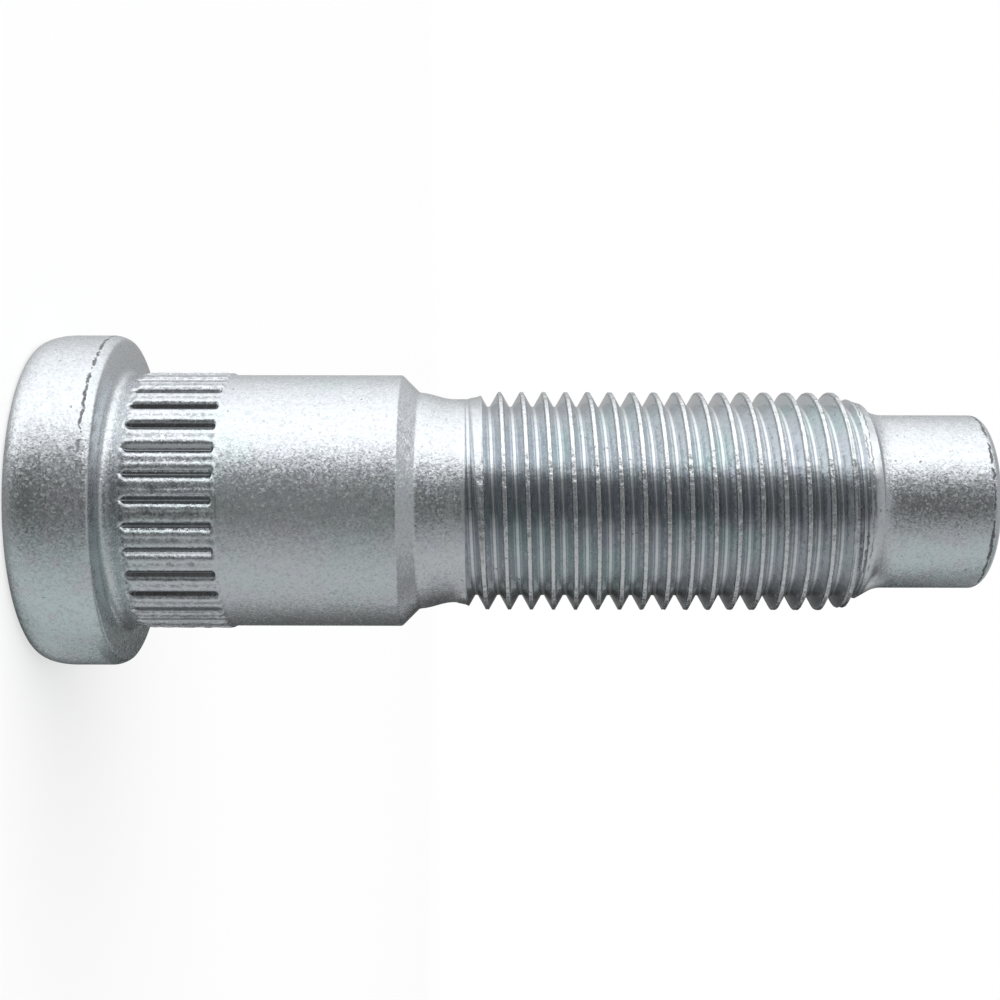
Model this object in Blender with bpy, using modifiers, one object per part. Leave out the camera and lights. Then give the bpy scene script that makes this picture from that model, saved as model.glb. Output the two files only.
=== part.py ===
"""Serrated wheel stud: a cold-forged blank with a press-fit serration band and a rolled right-hand thread.

Lengths are in metres and +Z is up. The stud stands on its round head, with the origin at the middle of the head's
outer face, and its thread and pilot point up.
"""

import math

import bmesh
import bpy

MM = 0.001

# Head
HEAD_THICKNESS = 4.63 * MM
HEAD_OVERHANG = 2.25 * MM  # the rim stands out this far past the shank
HEAD_BACK_ROUND_WIDTH = 0.71 * MM  # the soft edge round the outer face, across the face
HEAD_BACK_ROUND_HEIGHT = 1.83 * MM  # the same edge, along the rim
HEAD_FRONT_ROUND = 0.6 * MM  # edge between the rim and the seating face
HEAD_FILLET = 0.45 * MM  # corner between the seating face and the shank

# Shank
SHANK_DIAMETER = 14.5 * MM
SHANK_LENGTH = 15.79 * MM  # from the seating face to the chamfer
SHANK_CHAMFER = 1.0 * MM  # a 45 degree chamfer
NECK_LENGTH = 1.95 * MM  # the taper from the chamfer down to the rolled blank

# Serration band
SERRATION_COUNT = 32
SERRATION_GAP = 0.95 * MM  # from the seating face to the points of the grooves
SERRATION_LENGTH = 5.0 * MM
SERRATION_RISE = 0.11 * MM  # the crests stand this far above the shank
SERRATION_DEPTH = 0.36 * MM  # from the crests down to the bottoms of the grooves
GROOVE_SHARE = 0.64  # groove width at the crests, as a share of the spacing
GROOVE_POINT = 0.5 * MM  # length of the pointed end beside the head
GROOVE_ROUND = 0.22 * MM  # length of the rounded end beside the shank
CREST_RAMP = 0.12 * MM  # slope at each end of the crests

# Thread
THREAD_DIAMETER = 12.62 * MM
THREAD_PITCH = 1.27 * MM
THREAD_LENGTH = 23.65 * MM  # from the neck to the fillet at the pilot
FLANK_ANGLE = math.radians(30)
CREST_FLAT = 0.1  # width of a crest, in pitches
ROOT_FLAT = 0.125  # width of a root, in pitches
CREST_PHASE = 0.58  # where the first crest passes +X, in pitches past the neck
RUN_IN = 1.5 * MM  # the thread rises to its full height over this length at the neck
RUN_OUT = 2.9 * MM  # and fades over this length at the lead
LEAD_ANGLE = math.radians(32)

# Pilot
PILOT_CLEARANCE = 0.458 * MM  # the pilot is this much smaller all round than the thread's root
PILOT_FILLET = 1.95 * MM
PILOT_LENGTH = 6.77 * MM  # from the foot of the lead to the end face
TIP_ROUND_WIDTH = 1.05 * MM
TIP_ROUND_HEIGHT = 0.71 * MM

# Fineness
FACETS = 40
ARC_PIECES = 4
NECK_PIECES = 6
GROOVE_END_PIECES = 6
WELD = 0.001 * MM

SHANK_RADIUS = SHANK_DIAMETER / 2
HEAD_RADIUS = SHANK_RADIUS + HEAD_OVERHANG
CREST_RADIUS = SHANK_RADIUS + SERRATION_RISE
GROOVE_RADIUS = CREST_RADIUS - SERRATION_DEPTH

THREAD_RADIUS = THREAD_DIAMETER / 2
THREAD_DEPTH = THREAD_PITCH * (1 - CREST_FLAT - ROOT_FLAT) / (2 * math.tan(FLANK_ANGLE))
ROOT_RADIUS = THREAD_RADIUS - THREAD_DEPTH
BLANK_RADIUS = THREAD_RADIUS - THREAD_DEPTH / 2  # before rolling, which moves metal from the roots to the crests
PILOT_RADIUS = ROOT_RADIUS - PILOT_CLEARANCE
LEAD_RADIUS = PILOT_RADIUS + PILOT_FILLET * (1 - math.cos(LEAD_ANGLE))  # foot of the lead

SEAT_Z = HEAD_THICKNESS
SERRATION_START_Z = SEAT_Z + SERRATION_GAP
SERRATION_END_Z = SERRATION_START_Z + SERRATION_LENGTH
SHANK_END_Z = SEAT_Z + SHANK_LENGTH
NECK_START_Z = SHANK_END_Z + SHANK_CHAMFER
THREAD_START_Z = NECK_START_Z + NECK_LENGTH
THREAD_END_Z = THREAD_START_Z + THREAD_LENGTH
LEAD_START_Z = THREAD_END_Z - (BLANK_RADIUS - LEAD_RADIUS) / math.tan(LEAD_ANGLE)
TIP_Z = THREAD_END_Z + PILOT_LENGTH


def clear_scene():
    for obj in list(bpy.data.objects):
        bpy.data.objects.remove(obj, do_unlink=True)


def new_collection(name):
    collection = bpy.data.collections.new(name)
    bpy.context.scene.collection.children.link(collection)
    return collection


def arc(centre, radii, start_degrees, end_degrees):
    """Points (radius, z) along part of an ellipse, from one angle to the other."""
    points = []
    for piece in range(ARC_PIECES + 1):
        angle = math.radians(start_degrees + (end_degrees - start_degrees) * piece / ARC_PIECES)
        points.append((centre[0] + radii[0] * math.cos(angle), centre[1] + radii[1] * math.sin(angle)))
    return points


def ease(share):
    """A smooth rise from 0 to 1."""
    share = min(max(share, 0.0), 1.0)
    return share * share * (3 - 2 * share)


def head_outline():
    """From the middle of the outer face, round the rim, to the foot of the fillet on the shank."""
    back_centre = (HEAD_RADIUS - HEAD_BACK_ROUND_WIDTH, HEAD_BACK_ROUND_HEIGHT)
    front_centre = (HEAD_RADIUS - HEAD_FRONT_ROUND, SEAT_Z - HEAD_FRONT_ROUND)
    fillet_centre = (SHANK_RADIUS + HEAD_FILLET, SEAT_Z + HEAD_FILLET)
    outline = [(0.0, 0.0)]
    outline += arc(back_centre, (HEAD_BACK_ROUND_WIDTH, HEAD_BACK_ROUND_HEIGHT), -90, 0)
    outline += arc(front_centre, (HEAD_FRONT_ROUND, HEAD_FRONT_ROUND), 0, 90)
    outline += arc(fillet_centre, (HEAD_FILLET, HEAD_FILLET), 270, 180)
    return outline


def shank_outline():
    """The raised band that takes the serrations, the plain shank and its chamfer."""
    crest_start = SERRATION_START_Z + GROOVE_POINT / 2
    crest_end = SERRATION_END_Z
    return [
        (SHANK_RADIUS, crest_start - CREST_RAMP),
        (CREST_RADIUS, crest_start),
        (CREST_RADIUS, crest_end - CREST_RAMP),
        (SHANK_RADIUS, crest_end),
        (SHANK_RADIUS, SHANK_END_Z),
    ]


def neck_outline():
    """A soft S from the foot of the chamfer down to the blank of the thread."""
    top = SHANK_RADIUS - SHANK_CHAMFER
    outline = []
    for piece in range(NECK_PIECES + 1):
        share = piece / NECK_PIECES
        outline.append((top + (BLANK_RADIUS - top) * ease(share), NECK_START_Z + NECK_LENGTH * share))
    return outline


def pilot_outline():
    """From the foot of the lead, through the fillet and along the pilot, to the middle of the end face."""
    fillet_centre = (PILOT_RADIUS + PILOT_FILLET, THREAD_END_Z + PILOT_FILLET * math.sin(LEAD_ANGLE))
    tip_centre = (PILOT_RADIUS - TIP_ROUND_WIDTH, TIP_Z - TIP_ROUND_HEIGHT)
    outline = arc(fillet_centre, (PILOT_FILLET, PILOT_FILLET), 180 + math.degrees(LEAD_ANGLE), 180)
    outline += arc(tip_centre, (TIP_ROUND_WIDTH, TIP_ROUND_HEIGHT), 0, 90)
    outline.append((0.0, TIP_Z))
    return outline


def thread_outline():
    """The flat-topped teeth on the +X side, drawn past both ends of the thread."""
    marks = (
        (-CREST_FLAT / 2, THREAD_RADIUS),
        (CREST_FLAT / 2, THREAD_RADIUS),
        (0.5 - ROOT_FLAT / 2, ROOT_RADIUS),
        (0.5 + ROOT_FLAT / 2, ROOT_RADIUS),
    )
    first_crest = THREAD_START_Z + (CREST_PHASE - 2) * THREAD_PITCH
    teeth = math.ceil(THREAD_LENGTH / THREAD_PITCH) + 3
    return [
        (radius, first_crest + (tooth + share) * THREAD_PITCH)
        for tooth in range(teeth)
        for share, radius in marks
    ]


def turned(outline, advance=0.0):
    """The surface that an outline sweeps in one turn about Z, rising by advance on the way."""
    mesh = bpy.data.meshes.new("outline")
    points = [(radius, 0.0, z) for radius, z in reversed(outline)]
    mesh.from_pydata(points, [(i, i + 1) for i in range(len(points) - 1)], [])
    obj = bpy.data.objects.new("outline", mesh)
    bpy.context.scene.collection.objects.link(obj)
    screw = obj.modifiers.new("Screw", "SCREW")
    screw.axis = "Z"
    screw.angle = math.tau
    screw.screw_offset = advance
    screw.steps = FACETS
    screw.render_steps = FACETS
    screw.merge_threshold = WELD
    surface = evaluated_mesh(obj)
    bpy.data.objects.remove(obj, do_unlink=True)
    return surface


def evaluated_mesh(obj):
    graph = bpy.context.evaluated_depsgraph_get()
    return bpy.data.meshes.new_from_object(obj.evaluated_get(graph))


def blank_radius(z):
    """The blank that the thread is rolled on: a cylinder, then the cone of the lead."""
    return BLANK_RADIUS - max(z - LEAD_START_Z, 0.0) * math.tan(LEAD_ANGLE)


def roll_thread(mesh):
    """Lays the wound teeth on the blank, faded at both ends, with each end drawn up to a plain circle."""
    snap = THREAD_PITCH / FACETS / 2
    for vertex in mesh.vertices:
        x, y, z = vertex.co
        radius = math.hypot(x, y)
        if z < THREAD_START_Z + snap:
            z = THREAD_START_Z
        if z > THREAD_END_Z - snap:
            z = THREAD_END_Z
        rise = ease((z - THREAD_START_Z) / RUN_IN) * ease((THREAD_END_Z - z) / RUN_OUT)
        rolled = blank_radius(z) + (radius - BLANK_RADIUS) * rise
        vertex.co = (x * rolled / radius, y * rolled / radius, z)
    return mesh


def stud_body(collection):
    """The turned forms and the thread, joined at the circles that they share."""
    thread = roll_thread(turned(thread_outline(), advance=THREAD_PITCH))
    body = bmesh.new()
    for surface in (turned(head_outline() + shank_outline() + neck_outline()), thread, turned(pilot_outline())):
        body.from_mesh(surface)
        bpy.data.meshes.remove(surface)
    bmesh.ops.remove_doubles(body, verts=body.verts, dist=WELD)
    bmesh.ops.recalc_face_normals(body, faces=body.faces)
    mesh = bpy.data.meshes.new("wheel_stud")
    body.to_mesh(mesh)
    body.free()
    stud = bpy.data.objects.new("wheel_stud", mesh)
    collection.objects.link(stud)
    return stud


def groove_points():
    """Corners of one groove, as (distance from the axis, sideways, z): a V with a pointed and a rounded end."""
    spare = SERRATION_DEPTH / 4  # the cutter reaches this far above the crests
    top = CREST_RADIUS + spare
    half_width = GROOVE_SHARE * math.pi * CREST_RADIUS / SERRATION_COUNT * (1 + spare / SERRATION_DEPTH)
    keel_start = SERRATION_START_Z + GROOVE_POINT
    keel_end = SERRATION_END_Z - GROOVE_ROUND
    rise = (top - GROOVE_RADIUS) / (SHANK_RADIUS - GROOVE_RADIUS)
    points = [(GROOVE_RADIUS, 0.0, keel_start), (GROOVE_RADIUS, 0.0, keel_end)]
    points += [(top, 0.0, keel_start - GROOVE_POINT * rise)]
    points += [(top, half_width, keel_start), (top, -half_width, keel_start)]
    for piece in range(GROOVE_END_PIECES + 1):
        angle = math.pi * piece / GROOVE_END_PIECES
        points.append((top, half_width * math.cos(angle), keel_end + GROOVE_ROUND * rise * math.sin(angle)))
    return points


def serration_cutter(collection):
    """One closed wedge for each groove, spaced evenly round the shank."""
    wedges = bmesh.new()
    for copy in range(SERRATION_COUNT):
        turn = math.tau * copy / SERRATION_COUNT
        corners = []
        for out, side, z in groove_points():
            x = out * math.cos(turn) - side * math.sin(turn)
            y = out * math.sin(turn) + side * math.cos(turn)
            corners.append(wedges.verts.new((x, y, z)))
        bmesh.ops.convex_hull(wedges, input=corners)
    bmesh.ops.recalc_face_normals(wedges, faces=wedges.faces)
    mesh = bpy.data.meshes.new("serration_cutter")
    wedges.to_mesh(mesh)
    wedges.free()
    cutter = bpy.data.objects.new("serration_cutter", mesh)
    cutter.hide_render = True
    cutter.display_type = "WIRE"
    collection.objects.link(cutter)
    return cutter


def cut(obj, cutter):
    boolean = obj.modifiers.new("Serrations", "BOOLEAN")
    boolean.operation = "DIFFERENCE"
    boolean.solver = "EXACT"
    boolean.object = cutter
    whole = evaluated_mesh(obj)
    obj.modifiers.clear()
    uncut = obj.data
    obj.data = whole
    bpy.data.meshes.remove(uncut)
    whole.name = obj.name


def zinc_plate():
    """Bright zinc plating, slightly blue."""
    material = bpy.data.materials.new("zinc_plate")
    material.use_nodes = True
    shader = material.node_tree.nodes["Principled BSDF"]
    shader.inputs["Base Color"].default_value = (0.56, 0.60, 0.64, 1.0)
    shader.inputs["Metallic"].default_value = 1.0
    shader.inputs["Roughness"].default_value = 0.32
    return material


def shade(obj, material):
    obj.data.materials.clear()
    obj.data.materials.append(material)
    obj.data.shade_smooth()
    obj.data.set_sharp_from_angle(angle=math.radians(25))


def main():
    clear_scene()
    stud = stud_body(new_collection("wheel_stud"))
    cut(stud, serration_cutter(new_collection("cutters")))
    shade(stud, zinc_plate())


main()
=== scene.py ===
import math

import bpy
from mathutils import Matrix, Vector, noise


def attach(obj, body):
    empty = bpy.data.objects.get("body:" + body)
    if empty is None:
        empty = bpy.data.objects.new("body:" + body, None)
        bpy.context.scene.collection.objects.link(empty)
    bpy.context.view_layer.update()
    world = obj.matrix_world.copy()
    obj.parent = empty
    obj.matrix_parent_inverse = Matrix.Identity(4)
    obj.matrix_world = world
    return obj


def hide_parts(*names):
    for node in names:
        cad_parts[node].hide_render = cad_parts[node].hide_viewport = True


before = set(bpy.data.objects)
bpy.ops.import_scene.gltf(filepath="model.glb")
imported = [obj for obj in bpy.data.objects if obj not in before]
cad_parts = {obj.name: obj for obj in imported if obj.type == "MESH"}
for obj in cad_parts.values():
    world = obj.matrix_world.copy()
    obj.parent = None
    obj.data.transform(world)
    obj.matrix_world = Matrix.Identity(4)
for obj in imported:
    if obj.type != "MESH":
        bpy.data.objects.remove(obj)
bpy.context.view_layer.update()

# Camera: about level with the middle of the standing stud, 88 mm from its axis, and rolled a quarter
# turn, so that the head is at the left of the picture, as in the photograph.
CAMERA_PLACE = (0, -0.08796, 0.02604)
CAMERA_TURN = (math.radians(90), math.radians(-90.105), math.radians(0.029))

bpy.ops.object.select_all(action="DESELECT")
bpy.ops.object.camera_add(location=CAMERA_PLACE, rotation=CAMERA_TURN)
camera = bpy.context.object
camera.name = "camera"
camera.data.sensor_width = 36
camera.data.lens = 54.54
camera.data.clip_start = 0.001
bpy.context.scene.camera = camera
bpy.context.scene.view_settings.view_transform = "Standard"

# Wheel stud: cold-forged steel with a pressed band of serrations and a rolled thread, barrel-plated with
# zinc. Its outline is drawn from the middle of the head outwards and turned, and the thread is one tooth
# wound 21 times. It is drawn in millimetres and brought to metres at the end.
HEAD_RADIUS = 9.5
HEAD_BACK_ROUND = (0.71, 1.83)  # how far it reaches in from the rim and along it
HEAD_FRONT_EDGE = (  # as (millimetres in from the rim, millimetres below the seating face)
    (0, 0.68), (0.015, 0.55), (0.05, 0.41), (0.10, 0.27),
    (0.165, 0.14), (0.21, 0.075), (0.28, 0.03), (0.38, 0))
SEAT_Z = 4.63
SEAT_FILLET = 0.45
SHANK_RADIUS = 7.25
SHANK_END_Z = 20.42
SHANK_EDGE = 0.2  # radius of the round between the shank and its chamfer
SHANK_EDGE_START = 0.083  # how far below the corner that round starts
NECK_START_Z = 21.42
NECK_RADIUS = 6.25
NECK_LENGTH = 1.95
NECK_RINGS = 12
BLANK_RADIUS = 5.884  # the bar that the thread is rolled on
BODY_STEPS = 384

BAND_START_Z = 5.68
BAND_END_Z = 10.70
CREST_RADIUS = 7.37
SWELL_START_Z = 5.15  # the shank swells up to the crests from here on, over this length
SWELL_START_LENGTH = 1.0
SWELL_END_Z = 10.93  # and is back at its own radius here
SWELL_END_LENGTH = 0.30
GROOVES = 32
GROOVE_POINT = 0.38  # length of a groove's pointed end
GROOVE_POINT_SHAPE = 1.6  # 1 would give it straight sides, and more than 1 bows them outwards
GROOVE_ROUND = 0.22  # length of its round end
GROOVE_EDGE = 0.225  # half of its width, as a share of the spacing
RIDGE_START = 0.27  # where the ridge beside it begins, as a share of the spacing
# half of a groove and half of a ridge, as (share of the spacing from the middle of the groove,
# millimetres down from the crests), with one step for each vertex between the two middles
SECTION = (
    (0.0, 0.34), (0.03, 0.31), (0.15, 0.122), (0.215, 0.045),
    (RIDGE_START, 0.004), (0.40, 0.010), (0.50, 0.05))
COLUMNS = BODY_STEPS // GROOVES
BAND_BUMPS = 2.7  # about how many there are in a millimetre of the ragged edges and crests
EDGE_BUMPS = 0.012  # their size on the edges, as a share of the spacing
CREST_BUMPS = 0.035  # and on the crests, in millimetres


def arc(radius, z, width, height, start, end, pieces):
    """Points of an outline along part of an ellipse, with its angles in degrees."""
    angles = [math.radians(start + (end - start) * i / pieces) for i in range(pieces + 1)]
    return [(radius + width * math.cos(a), z + height * math.sin(a)) for a in angles]


def ease(share):
    """A smooth rise from 0 to 1."""
    share = min(max(share, 0.0), 1.0)
    return share * share * (3 - 2 * share)


def draw(name, outline):
    """An open line of edges through the points (radius, z), on the +X side."""
    bpy.ops.object.select_all(action="DESELECT")
    bpy.ops.mesh.primitive_plane_add(size=1, location=(0, 0, 0))
    line = bpy.context.object
    line.name = name
    bpy.ops.object.mode_set(mode="EDIT")
    bpy.ops.mesh.merge(type="CENTER")
    bpy.ops.transform.translate(value=(outline[0][0], 0, outline[0][1]))
    for (radius, z), (next_radius, next_z) in zip(outline, outline[1:]):
        step = (next_radius - radius, 0, next_z - z)
        bpy.ops.mesh.extrude_vertices_move(TRANSFORM_OT_translate={"value": step})
    bpy.ops.object.mode_set(mode="OBJECT")
    return line


def turn(line, steps, rise=0.0, times=1):
    """Sweeps the line about Z, the given number of times, rising by the same amount in each turn."""
    bpy.ops.object.select_all(action="DESELECT")
    line.select_set(True)
    bpy.context.view_layer.objects.active = line
    screw = line.modifiers.new("Turn", "SCREW")
    screw.steps = steps
    screw.render_steps = steps
    screw.screw_offset = rise
    screw.iterations = times
    screw.use_merge_vertices = rise == 0
    screw.merge_threshold = 0.001
    bpy.ops.object.modifier_apply(modifier="Turn")


# the rings under the serrations lie close together at both ends of the grooves
band_rings = [5.2, 5.35, 5.5, 5.6]
band_rings += [BAND_START_Z + 0.07 * i for i in range(8)]
band_rings += [6.3 + 0.2 * i for i in range(20)]
band_rings += [10.25 + 0.06 * i for i in range(9)]
band_rings += [10.79, 10.87, 10.96]

back_width, back_height = HEAD_BACK_ROUND
outline = [(0.0, 0.0)]
outline += arc(HEAD_RADIUS - back_width, back_height, back_width, back_height, -90, 0, 10)
outline += [(HEAD_RADIUS - sunk, SEAT_Z - below) for sunk, below in HEAD_FRONT_EDGE]
outline += arc(SHANK_RADIUS + SEAT_FILLET, SEAT_Z + SEAT_FILLET, SEAT_FILLET, SEAT_FILLET, 270, 180, 6)
outline += [(SHANK_RADIUS, z) for z in band_rings]
outline += arc(SHANK_RADIUS - SHANK_EDGE, SHANK_END_Z - SHANK_EDGE_START, SHANK_EDGE, SHANK_EDGE, 0, 45, 3)
# the chamfer runs softly into the neck, which tapers down to the bar
outline += [(6.33, NECK_START_Z - 0.08), (6.26, NECK_START_Z + 0.02)]
for i in range(1, NECK_RINGS):
    share = i / NECK_RINGS
    neck = NECK_RADIUS + (BLANK_RADIUS - NECK_RADIUS) * ease(share)
    outline.append((neck, NECK_START_Z + NECK_LENGTH * share))
stud = draw("stud", outline)
turn(stud, BODY_STEPS)


def along(steps, share):
    """The depth of a profile, given as (share, depth) steps, at this share."""
    for (low, first), (high, last) in zip(steps, steps[1:]):
        if share <= high:
            return first + (last - first) * (share - low) / (high - low)
    return steps[-1][1]


def carve(point):
    """Presses the serrations into the shank: V grooves with a point towards the head and a round end."""
    spacing = math.tau / GROOVES
    angle = math.atan2(point.y, point.x)
    number = round(angle / spacing)
    side = 1 if angle > number * spacing else -1
    column = round(abs(angle / spacing - number) * COLUMNS)

    # the edge of each groove is a little ragged, and so are the crests
    crumb = noise.noise(point * BAND_BUMPS)
    share = SECTION[column][0] + (EDGE_BUMPS * crumb if column in (3, 4) else 0)
    rough = CREST_BUMPS * crumb if column > 3 else 0

    # beyond its straight part a groove is narrower, so the point lies as if further from its middle
    before = max(BAND_START_Z + GROOVE_POINT - point.z, 0) / GROOVE_POINT
    after = max(point.z - (BAND_END_Z - GROOVE_ROUND), 0) / GROOVE_ROUND
    reach = GROOVE_EDGE * (math.hypot(share / GROOVE_EDGE, after) + before ** GROOVE_POINT_SHAPE)

    raised = ease((point.z - SWELL_START_Z) / SWELL_START_LENGTH)
    raised *= ease((SWELL_END_Z - point.z) / SWELL_END_LENGTH)
    seam = along(SECTION, share) * raised if share > RIDGE_START else 0
    crest = SHANK_RADIUS + (CREST_RADIUS - SHANK_RADIUS + rough) * raised
    radius = crest - max(along(SECTION, min(reach, RIDGE_START)), seam)
    angle = (number + side * share) * spacing
    return Vector((radius * math.cos(angle), radius * math.sin(angle), point.z))


for vertex in stud.data.vertices:
    if band_rings[0] - 0.01 < vertex.co.z < band_rings[-1] + 0.01:
        vertex.co = carve(vertex.co)

THREAD_START_Z = 23.37
THREAD_END_Z = 47.198
THREAD_STEPS = 180
WINDINGS = 21
PITCH = 1.27
THREAD_RADIUS = 6.31
ROOT_RADIUS = 5.458
CREST_PHASE = 0.555  # where the crest lies on the +X side at the start of the thread, in pitches
BITE_START_Z = 24.05  # the die comes down into the bar from here on
BITE_LENGTH = 0.6
LEAD_DEGREES = 26
PILOT_RADIUS = 5.0
PILOT_FILLET = 1.95
TIP_ROUND = (1.05, 0.71)
TIP_Z = 53.79
LEAD_ANGLE = math.radians(LEAD_DEGREES)
LEAD_RADIUS = PILOT_RADIUS + PILOT_FILLET * (1 - math.cos(LEAD_ANGLE))
# the rolling die from a crest to the middle of a root, as (pitches from the crest, millimetres down)
DIE = ((0.0, 0.0), (0.058, 0.0), (0.40, 0.772), (0.425, 0.828), (0.445, 0.847), (0.5, 0.852))
DIE_SLOPE = 2.2  # about how many millimetres its flanks would go down in one pitch
# vertices of the tooth beside its middle, in pitches: three on the crest, one on the flank, four at the root
MARKS = (0.025, 0.05, 0.085, 0.35, 0.40, 0.425, 0.445, 0.5)
MARK_SPACING = 0.0275  # about how far those on the crest lie from each other
FLANK_START = 0.3  # beyond those on the crest, in pitches
CREST_HALF = 0.055  # half of the width of a full crest, in pitches
CREST_LEAST, CREST_MOST = 0.065, 0.39  # what half of the width is kept between
CREST_CORNER = 0.03  # how far the vertices beside the crest's edges lie from them, in pitches
FOLD_SHARE = 0.3  # the fold's share of the crest's width
FOLD_DEPTH = 0.7  # how deep it is where no metal has come up, as a share of the crest's rise
THREAD_WAVES = 2.1  # about how many there are in a millimetre along the crest
THREAD_CRUMBS = 4.3
RUN_IN, RUN_OUT = 0.4, 0.3  # over these lengths the crests rise from the thread's two end circles

# the winding starts two pitches below the thread, and what is beyond its ends is laid on the end circles
first_crest = THREAD_START_Z + (CREST_PHASE - 2) * PITCH
places = [-mark for mark in reversed(MARKS)] + [0.0] + list(MARKS)
thread = draw("thread", [(THREAD_RADIUS, first_crest + place * PITCH) for place in places])
turn(thread, THREAD_STEPS, PITCH, WINDINGS)


def blank(z):
    """Radius of the bar that the thread is rolled on: a cylinder, then the cone of the lead."""
    cone = LEAD_RADIUS + (THREAD_END_Z - z) * math.tan(LEAD_ANGLE)
    return min(BLANK_RADIUS, cone)


def bitten(z):
    """How far the die has come down at this height, from 0 to 1."""
    return ease((z - BITE_START_Z) / BITE_LENGTH)


def pushed(z):
    """How much metal the die pushes out of the groove at this height, as a share of a full groove."""
    room = max(blank(z) - ROOT_RADIUS, 0) / (BLANK_RADIUS - ROOT_RADIUS)
    return bitten(z) * room ** 1.5


def roll(point):
    """Presses the die into the bar here: grooves at full depth, crests as high as the pushed metal fills."""
    # the nearest crest, and how far away it is in pitches
    turned = math.atan2(point.y, point.x) / math.tau
    share = ((point.z - first_crest) / PITCH - turned + 0.5) % 1 - 0.5
    crest_z = point.z - share * PITCH
    side = 1 if share > 0 else -1
    away = abs(share)

    # the metal that comes up, and how wide a crest it leaves between the grooves
    bite = bitten(crest_z + side * PITCH / 2)
    lift = (1 - bite) * (BLANK_RADIUS - ROOT_RADIUS)
    filled = (pushed(crest_z - PITCH / 2) + pushed(crest_z + PITCH / 2)) / 2
    rough = noise.noise(Vector((point.x, point.y, crest_z + side * 0.7)) * THREAD_WAVES)
    crumb = noise.noise(Vector((point.x, point.y, crest_z)) * THREAD_CRUMBS)
    swell = (THREAD_RADIUS - BLANK_RADIUS) * filled * (1 - 0.10 * max(rough, 0))
    width = CREST_HALF + (THREAD_RADIUS + lift - blank(crest_z) - swell) / DIE_SLOPE
    width = min(max(width, CREST_LEAST), CREST_MOST) + (0.02 * rough + 0.03 * crumb) * filled

    # the vertices on the crest move to its edges, and those beyond make way for them
    if away < FLANK_START:
        edges = (0.0, max(width - CREST_CORNER, FOLD_SHARE * width), width, width + CREST_CORNER)
        away = edges[round(away / MARK_SPACING)]
    else:
        away = max(away, width + 0.035 + 0.3 * (away - 0.35))

    z = crest_z + side * away * PITCH
    half_step = PITCH / THREAD_STEPS / 2
    if z < THREAD_START_Z + half_step:
        z = THREAD_START_Z
    if z > THREAD_END_Z - half_step:
        z = THREAD_END_Z

    # the metal fades out towards both ends and down the flanks, and leaves two lips with a fold between them
    swell *= ease((z - THREAD_START_Z) / RUN_IN) * ease((THREAD_END_Z - z) / RUN_OUT)
    swell *= 1 - ease((away - width * bite) / (0.5 - width * bite))
    lips = (0.05 - 0.12 * crumb) * swell if away < width else 0
    if away < FOLD_SHARE * width:
        lips += FOLD_DEPTH * (1 - filled) * swell
    radius = min(THREAD_RADIUS - along(DIE, away) + lift, blank(z) + swell - lips)
    return Vector((point.x, point.y, 0)).normalized() * radius + Vector((0, 0, z))


for vertex in thread.data.vertices:
    vertex.co = roll(vertex.co)

tip_width, tip_height = TIP_ROUND
end = arc(PILOT_RADIUS + PILOT_FILLET, THREAD_END_Z + PILOT_FILLET * math.sin(LEAD_ANGLE),
          PILOT_FILLET, PILOT_FILLET, 180 + LEAD_DEGREES, 180, 7)
end += arc(PILOT_RADIUS - tip_width, TIP_Z - tip_height, tip_width, tip_height, 0, 90, 9)
end.append((0.0, TIP_Z))
pilot = draw("pilot", end)
turn(pilot, THREAD_STEPS)

# the thread and the pilot share an end circle, and the gap between the neck and the thread is bridged
bpy.ops.object.select_all(action="DESELECT")
for piece in (thread, pilot, stud):
    piece.select_set(True)
bpy.context.view_layer.objects.active = stud
bpy.ops.object.join()
for vertex in stud.data.vertices:
    vertex.co.z = min(max(vertex.co.z, 0.0), TIP_Z)
bpy.ops.object.mode_set(mode="EDIT")
bpy.ops.mesh.select_all(action="SELECT")
bpy.ops.mesh.remove_doubles(threshold=0.0008)
bpy.ops.mesh.dissolve_degenerate(threshold=0.0005)
bpy.ops.mesh.select_all(action="DESELECT")
bpy.ops.mesh.select_mode(type="EDGE")
bpy.ops.mesh.select_non_manifold(
    extend=False, use_wire=False, use_boundary=True, use_multi_face=False,
    use_non_contiguous=False, use_verts=False)
bpy.ops.mesh.bridge_edge_loops()
bpy.ops.mesh.select_all(action="SELECT")
bpy.ops.mesh.normals_make_consistent(inside=False)
bpy.ops.object.mode_set(mode="OBJECT")
stud.scale = (0.001, 0.001, 0.001)
bpy.ops.object.transform_apply(location=False, rotation=False, scale=True)
bpy.ops.object.shade_smooth()

ZINC = (0.594, 0.624, 0.646, 1)
GREENER_ZINC = (0.570, 0.630, 0.640, 1)
LILAC_ZINC = (0.590, 0.606, 0.655, 1)
CREST_ZINC = (0.68, 0.695, 0.705, 1)
GREEN_FILM = (0.582, 0.690, 0.705, 1)
SPECKS = (0.38, 0.41, 0.44, 1)
SHADED_CORNER = (0.22, 0.235, 0.25, 1)
CRUMBS = (0.26, 0.28, 0.30, 1)
# painted shade: a darker band just under the crests of the thread
SHADE_UNDER_CREST = (0.25, 0.265, 0.28, 1)
# painted shade of the serrations' grooves, laid on their pressed walls
SHADED_PRESSED_WALL = (0.46, 0.48, 0.50, 1)
# painted shade in the grooves of the serrations
GROOVE_SHADE = (0.16, 0.17, 0.18, 1)
PIT = (0.20, 0.215, 0.23, 1)
SCAR = (0.10, 0.105, 0.11, 1)

plating = bpy.data.materials.new("zinc_plate")
plating.use_nodes = True
nodes = plating.node_tree.nodes
links = plating.node_tree.links


def connect(value, slot):
    """Feeds an input with a number, a colour or another node's output."""
    if isinstance(value, bpy.types.NodeSocket):
        links.new(value, slot)
    else:
        slot.default_value = value


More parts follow.
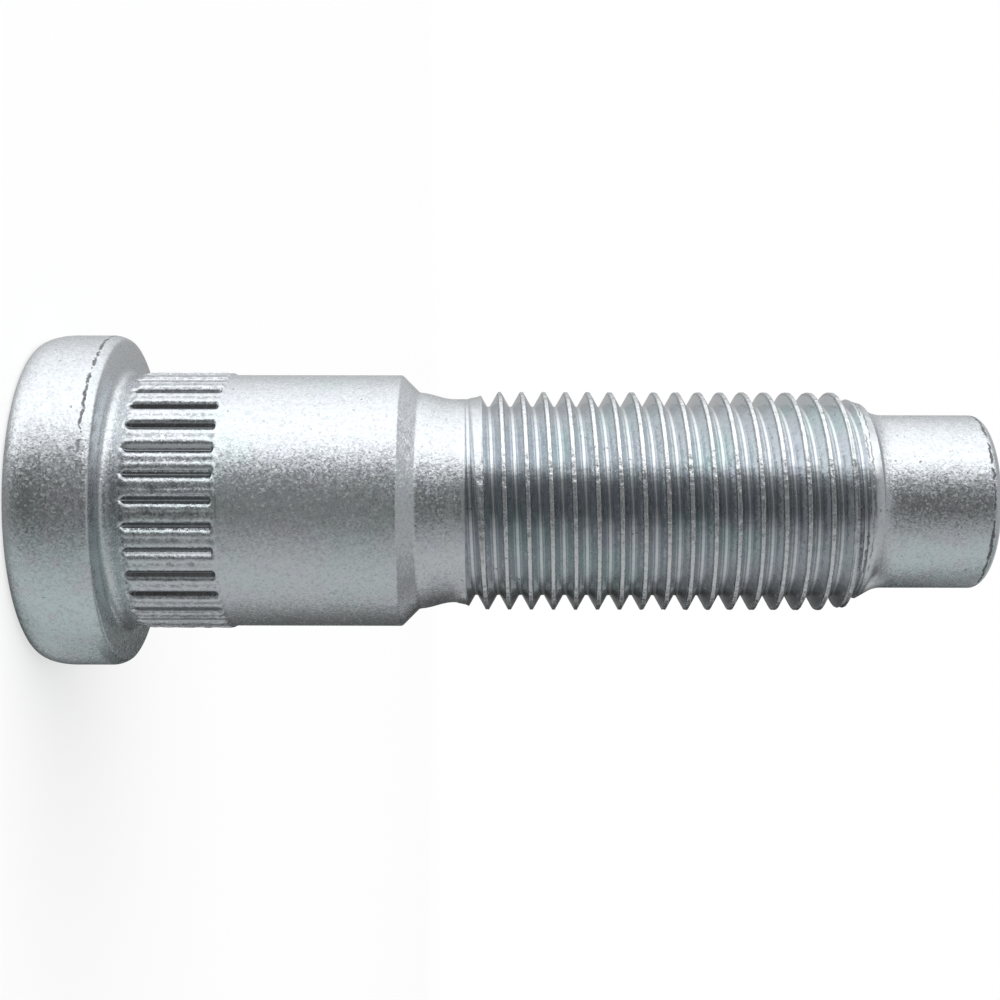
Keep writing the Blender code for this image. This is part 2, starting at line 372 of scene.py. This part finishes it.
def work(operation, *values):
    """The result of a Math node, or of a chain of them for more than two values."""
    result = values[0]
    for value in values[1:] or (0.0,):
        step = nodes.new("ShaderNodeMath")
        step.operation = operation
        connect(result, step.inputs[0])
        connect(value, step.inputs[1])
        result = step.outputs[0]
    return result


def vector_work(operation, *values):
    """The result of a Vector Math node."""
    step = nodes.new("ShaderNodeVectorMath")
    step.operation = operation
    for value, slot in zip(values, step.inputs):
        connect(value, slot)
    return step.outputs[0]


def scaled(vector, amount):
    """A vector made longer or shorter."""
    step = nodes.new("ShaderNodeVectorMath")
    step.operation = "SCALE"
    connect(vector, step.inputs[0])
    connect(amount, step.inputs["Scale"])
    return step.outputs[0]


def fade(value, low, high):
    """0 where the value is at low, 1 where it is at high, and a smooth change between them."""
    step = nodes.new("ShaderNodeMapRange")
    step.interpolation_type = "SMOOTHSTEP"
    connect(value, step.inputs["Value"])
    step.inputs["From Min"].default_value = low
    step.inputs["From Max"].default_value = high
    return step.outputs["Result"]


def between(value, start, end):
    """1 in the middle of a range, with a fade over its start and its end, each given as (from, to)."""
    return work("MULTIPLY", fade(value, start[0], start[1]), fade(value, end[1], end[0]))


def clouds(scale, detail=2.0, crisp=0.5):
    """A soft random pattern from 0 to 1, with about this many patches in a millimetre."""
    step = nodes.new("ShaderNodeTexNoise")
    step.inputs["Scale"].default_value = scale
    step.inputs["Detail"].default_value = detail
    step.inputs["Roughness"].default_value = crisp
    links.new(where, step.inputs["Vector"])
    return step.outputs["Fac"]


def cells(place, scale):
    """Random cells, about this many in a millimetre: a colour for each, and the distance from its middle."""
    step = nodes.new("ShaderNodeTexVoronoi")
    step.inputs["Scale"].default_value = scale
    links.new(place, step.inputs["Vector"])
    return step.outputs


def channels(colour):
    """The three parts of a colour, each a number."""
    step = nodes.new("ShaderNodeSeparateColor")
    links.new(colour, step.inputs[0])
    return step.outputs


def tinted(share, first, second):
    """A mix of two colours."""
    step = nodes.new("ShaderNodeMix")
    step.data_type = "RGBA"
    connect(share, step.inputs[0])
    connect(first, step.inputs[6])
    connect(second, step.inputs[7])
    return step.outputs[2]


# the place on the stud in millimetres, and its distance from the axis
place = nodes.new("ShaderNodeTexCoord")
where = scaled(place.outputs["Object"], 1000)
axes = nodes.new("ShaderNodeSeparateXYZ")
links.new(where, axes.inputs[0])
x, y, height = axes.outputs
radius = work("POWER", work("ADD", work("MULTIPLY", x, x), work("MULTIPLY", y, y)), 0.5)

# the flanks of the thread and the walls of the serrations, which the die has burnished, and the crests
in_thread = between(height, (23.5, 24.3), (46.9, 47.3))
in_band = between(height, (BAND_START_Z, BAND_START_Z + 0.1), (BAND_END_Z - 0.1, BAND_END_Z))
flanks = work("MULTIPLY", in_thread, fade(radius, 6.22, 6.02))
walls = work("MULTIPLY", in_band, fade(radius, 7.27, 7.18))
burnished = work("MAXIMUM", flanks, walls)
crests = work("MULTIPLY", in_thread, fade(radius, 6.12, 6.24))
# painted shade: the colour is darkened in a narrow band just under the crests
painted_shade_under_crest = work("MULTIPLY", crests, fade(radius, 6.28, 6.22))
rolled = work("MAXIMUM", burnished, crests)
ridges = work("MULTIPLY", in_band, between(radius, (7.27, 7.30), (7.33, 7.36)))

# painted shade sits at the ends and the bottoms of the grooves, and is darkest on the walls of those at the
# stud's two sides
groove_ends = work("MAXIMUM", fade(height, 6.15, 5.80), fade(height, 10.50, 10.62))
groove_bottoms = work("MULTIPLY", in_band, fade(radius, 7.12, 7.0))
painted_groove_shade = work("MAXIMUM", work("MULTIPLY", walls, groove_ends, 0.8), groove_bottoms)
painted_side_shade = work("MULTIPLY", walls, fade(work("ABSOLUTE", x), 3.0, 4.2))

# pits of the zinc: small round spots, stirred out of shape
stir = nodes.new("ShaderNodeTexNoise")
stir.inputs["Scale"].default_value = 5.0
links.new(where, stir.inputs["Vector"])
stirred = vector_work("MULTIPLY_ADD", stir.outputs["Color"], (0.35, 0.35, 0.35), where)
spots = cells(stirred, 1.5)
pit_size = work("MULTIPLY", fade(channels(spots["Color"])["Red"], 0.42, 1.0), 0.13)
pits = fade(work("SUBTRACT", spots["Distance"], pit_size), 0.02, -0.05)

# how far the ragged lines stray, in millimetres
wobble = work("ADD", work("MULTIPLY", clouds(0.8), 0.14), work("MULTIPLY", clouds(3.2, 3.0, 0.7), 0.30))


def scar(at, width, patches):
    """A ragged line round the stud, broken where the pattern is low."""
    beside = work("ABSOLUTE", work("SUBTRACT", height, work("ADD", at, wobble)))
    line = fade(work("SUBTRACT", beside, work("MULTIPLY", patches, width)), 0.03, -0.04)
    return work("MULTIPLY", line, fade(patches, 0.40, 0.50))


# the fold that forging left on one side of the head's rim, the burr at the tip, and folds on the lead
fold = work("MULTIPLY", scar(3.80, 0.15, clouds(1.5, 3.0, 0.6)), fade(radius, 9.2, 9.4), fade(x, 0.5, -4.5))
burr = scar(52.95, 0.12, work("ADD", clouds(1.3), 0.06))
lead_folds = work("MAXIMUM", scar(45.97, 0.08, clouds(0.9)), scar(46.21, 0.06, clouds(1.1)))
scars = work("MAXIMUM", fold, burr, work("MULTIPLY", lead_folds, 0.7))

# relief in millimetres: a fine grain, orange peel, pits and scars, and the lumpy crests of the thread
grain = work("MULTIPLY", clouds(8.0, 2.0, 0.6), work("SUBTRACT", 0.016, work("MULTIPLY", rolled, 0.012)))
peel = work("MULTIPLY", clouds(1.6), 0.016)
lumps = work("MULTIPLY", crests, clouds(2.4), 0.07)
relief = work("SUBTRACT", work("ADD", grain, peel, lumps), work("MULTIPLY", pits, 0.008),
              work("MULTIPLY", scars, 0.03))
bump = nodes.new("ShaderNodeBump")
bump.inputs["Strength"].default_value = 1.0
bump.inputs["Distance"].default_value = 0.001
links.new(relief, bump.inputs["Height"])

# each crystal of the zinc lies a little askew, less so where the metal was rolled, and a few are matt
crystals = cells(where, 9.0)["Color"]
tilt = scaled(vector_work("SUBTRACT", crystals, (0.5, 0.5, 0.5)),
              work("SUBTRACT", 0.15, work("MULTIPLY", rolled, 0.11)))
facing = vector_work("NORMALIZE", vector_work("ADD", bump.outputs["Normal"], tilt))
matt = work("MULTIPLY", work("POWER", channels(crystals)["Green"], 5.0), work("SUBTRACT", 1.0, rolled))

# the zinc is greener in wide patches, more so towards +X, where the head and the pilot keep a green film.
# The head's front edge is a little shaded, specks lie all over, and crumbs lie on the ridges of the band.
greener = fade(work("ADD", clouds(0.18, 1.0), work("MULTIPLY", x, 0.012)), 0.48, 0.66)
film = work("MULTIPLY", work("MAXIMUM", fade(height, 5.0, 4.4), fade(height, 47.3, 48.3)), fade(x, 0.5, 3.5))
lilac = fade(clouds(0.8, 1.0), 0.52, 0.66)
corner = work("MULTIPLY", between(height, (4.45, 4.6), (4.65, 4.75)), fade(y, -5.5, -7.5))
specks = fade(clouds(4.1, 3.0, 0.6), 0.50, 0.36)
crumbs = work("MULTIPLY", ridges, fade(clouds(4.6, 3.0, 0.6), 0.60, 0.44))

tone = tinted(greener, ZINC, GREENER_ZINC)
for share, strength, colour in (
        (film, 0.75, GREEN_FILM), (lilac, 0.6, LILAC_ZINC), (crests, 0.6, CREST_ZINC),
        (corner, 0.15, SHADED_CORNER), (specks, 0.30, SPECKS), (crumbs, 0.7, CRUMBS),
        # painted shade: under the crests, on the pressed walls, and in the grooves
        (painted_shade_under_crest, 0.5, SHADE_UNDER_CREST), (walls, 0.7, SHADED_PRESSED_WALL), (painted_groove_shade, 0.75, GROOVE_SHADE),
        (painted_side_shade, 0.85, GROOVE_SHADE), (pits, 0.68, PIT), (scars, 0.85, SCAR)):
    tone = tinted(work("MULTIPLY", share, strength), tone, colour)

dullness = work("SUBTRACT", work("ADD", 0.19, work("MULTIPLY", clouds(2.3), 0.10)),
                work("MULTIPLY", burnished, 0.13))
dullness = work("ADD", dullness, work("MULTIPLY", matt, 0.30),
                work("MULTIPLY", work("MAXIMUM", pits, scars), 0.2))
metal = nodes["Principled BSDF"]
metal.inputs["Metallic"].default_value = 1.0
links.new(tone, metal.inputs["Base Color"])
links.new(dullness, metal.inputs["Roughness"])
links.new(facing, metal.inputs["Normal"])
stud.data.materials.clear()
stud.data.materials.append(plating)
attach(stud, "root")
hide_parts("wheel_stud")

# Floor: a plain white table top that keeps the soft shadow of the stud. Where it is seen it also glows
# a little, so that it looks as pale as the backdrop.
FLOOR_GLOW = 0.6

bpy.ops.object.select_all(action="DESELECT")
bpy.ops.mesh.primitive_plane_add(size=6, location=(0, 0, 0))
floor = bpy.context.object
floor.name = "floor"
paint = bpy.data.materials.new("floor_white")
paint.use_nodes = True
nodes = paint.node_tree.nodes
links = paint.node_tree.links


def seen():
    """1 for a ray from the camera, off a glossy surface or through a clear one, and 0 for a diffuse ray."""
    rays = nodes.new("ShaderNodeLightPath").outputs
    return work("MAXIMUM", rays["Is Camera Ray"], rays["Is Glossy Ray"], rays["Is Transmission Ray"])


def blend(share, first, second, surface):
    """Feeds a surface with a mix of two shaders."""
    mix = nodes.new("ShaderNodeMixShader")
    links.new(share, mix.inputs[0])
    links.new(first.outputs[0], mix.inputs[1])
    links.new(second.outputs[0], mix.inputs[2])
    links.new(mix.outputs[0], surface)


flat_paint = nodes["Principled BSDF"]
flat_paint.inputs["Base Color"].default_value = (0.9, 0.9, 0.9, 1)
flat_paint.inputs["Roughness"].default_value = 0.9
glow = nodes.new("ShaderNodeEmission")
glow.inputs["Strength"].default_value = 1.0
blend(work("MULTIPLY", seen(), FLOOR_GLOW), flat_paint, glow, nodes["Material Output"].inputs["Surface"])
floor.data.materials.append(paint)
floor.visible_glossy = False

# Backdrop and fill light: the bright surroundings of a product photograph. They are white wherever they
# are seen, and put a plain soft grey light on what stands in them.
world = bpy.data.worlds.new("studio")
bpy.context.scene.world = world
world.use_nodes = True
nodes = world.node_tree.nodes
links = world.node_tree.links
fill = nodes["Background"]
fill.inputs["Color"].default_value = (1, 1, 1, 1)
fill.inputs["Strength"].default_value = 0.5
white = nodes.new("ShaderNodeBackground")
white.inputs["Color"].default_value = (1, 1, 1, 1)
white.inputs["Strength"].default_value = 1.0
blend(seen(), fill, white, nodes["World Output"].inputs["Surface"])

# Light dome: the white paper that a photographer stands round and over bright metal, open to the camera.
# Only reflections see it. It is bright at one side, dim in front, mid grey at the other side and grey
# above and below.
DOME_RADIUS = 0.5
DOME_TURN = math.radians(-88.5)
# how bright it is round the stud, as (degrees from the camera's side over the bright side, level)
AROUND = (
    (0, 0.16), (8, 0.18), (18, 0.30), (27, 0.45), (32, 0.72), (37, 1.10), (42, 1.50), (47, 1.82), (53, 1.88),
    (65, 1.78), (90, 1.66), (110, 1.38), (120, 1.22), (135, 0.86), (155, 0.60), (175, 0.46), (184, 0.26),
    (192, 0.13), (200, 0.09), (218, 0.14), (235, 0.19), (245, 0.37), (255, 0.56), (268, 0.62), (288, 0.66),
    (305, 0.58), (316, 0.51), (328, 0.38), (338, 0.22), (346, 0.13), (354, 0.11), (360, 0.16))
RAMP_TOP = 2  # a ramp's colours end at 1, so it holds the levels as shares of this one

bpy.ops.object.select_all(action="DESELECT")
bpy.ops.mesh.primitive_uv_sphere_add(segments=96, ring_count=48, radius=DOME_RADIUS, location=(0, 0, 0))
dome = bpy.context.object
dome.name = "light_dome"
paper = bpy.data.materials.new("dome_paper")
paper.use_nodes = True
nodes = paper.node_tree.nodes
links = paper.node_tree.links
nodes.remove(nodes["Principled BSDF"])
place = nodes.new("ShaderNodeTexCoord")
spun = nodes.new("ShaderNodeMapping")
spun.inputs["Rotation"].default_value = (0, 0, DOME_TURN)
links.new(place.outputs["Object"], spun.inputs["Vector"])
round_axis = nodes.new("ShaderNodeTexGradient")
round_axis.gradient_type = "RADIAL"
links.new(spun.outputs["Vector"], round_axis.inputs["Vector"])
shades = nodes.new("ShaderNodeValToRGB")
links.new(round_axis.outputs["Fac"], shades.inputs["Fac"])
ramp = shades.color_ramp
for degrees, level in AROUND:
    share = 1 - degrees / 360
    if degrees in (0, 360):
        stop = ramp.elements[0 if degrees == 360 else -1]
        stop.position = share
    else:
        stop = ramp.elements.new(share)
    grey = level / RAMP_TOP
    stop.color = (grey, grey, grey, 1)

# towards both poles it turns into an even grey
axes = nodes.new("ShaderNodeSeparateXYZ")
links.new(place.outputs["Object"], axes.inputs[0])
x, y, z = axes.outputs
above = work("DIVIDE", z, DOME_RADIUS)
steep = work("ABSOLUTE", above)
poles = work("MULTIPLY", work("ADD", 0.42, work("MULTIPLY", above, 0.10)), 0.5)
grey = channels(tinted(fade(steep, 0.72, 1.0), shades.outputs["Color"], poles))["Red"]

# it is nowhere darker than this: near the poles, behind the stud, in front of it, and low at the dim side
near_poles = work("MULTIPLY", fade(steep, 0.45, 0.9), poles, 0.85)
behind = work("MULTIPLY", fade(y, 0.12, 0.34), fade(z, 0.12, 0.3), 0.38)
in_front = work("MULTIPLY", fade(steep, 0.24, 0.12), fade(y, 0.05, -0.15),
                work("ADD", 0.13, work("MULTIPLY", fade(above, -0.14, -0.06), 0.03)))
beneath = work("MULTIPLY", fade(above, -0.14, -0.22), fade(x, 0.2, 0.35), 0.27)
grey = work("MAXIMUM", grey, near_poles, behind, in_front, beneath)

# the paper is dimmed by these shares: behind the stud at both sides, and at two of its corners
dim_side = work("MULTIPLY", fade(x, 0.05, 0.30), fade(steep, 0.35, 0.70), 0.3)
bright_side = work("MULTIPLY", fade(x, -0.05, -0.30),
                   work("ADD", work("MULTIPLY", fade(above, 0.4, 0.8), 0.42),
                        work("MULTIPLY", fade(above, -0.4, -0.8), 0.2)))
sides = work("MULTIPLY", fade(y, -0.10, 0.15), work("ADD", dim_side, bright_side))
low_corner = work("MULTIPLY", fade(above, -0.20, -0.25), fade(x, -0.01, -0.07), fade(y, -0.22, -0.34), 0.27)
back_corner = work("MULTIPLY", fade(above, 0.05, 0.15), fade(x, -0.03, 0.05), fade(y, 0.30, 0.42), 0.5)
dimmed = work("MAXIMUM", sides, low_corner, back_corner)

glow = nodes.new("ShaderNodeEmission")
links.new(work("MULTIPLY", grey, RAMP_TOP, work("SUBTRACT", 1.0, dimmed)), glow.inputs["Strength"])
links.new(glow.outputs[0], nodes["Material Output"].inputs["Surface"])
paper.cycles.emission_sampling = "NONE"
dome.data.materials.append(paper)
dome.visible_camera = False
dome.visible_diffuse = False
dome.visible_shadow = False
dome.visible_transmission = False
dome.visible_volume_scatter = False

# Key lamp: a large soft box high at one side, so far away that it lights the whole floor evenly. It
# isn't mirrored in the metal, which mirrors the dome.
KEY_TURN = (math.radians(18), math.radians(-28), 0)

bpy.ops.object.light_add(type="SUN", location=(-0.3, -0.2, 0.6), rotation=KEY_TURN)
key = bpy.context.object
key.name = "key_lamp"
key.data.energy = 2.3
key.data.angle = math.radians(60)
key.visible_glossy = False
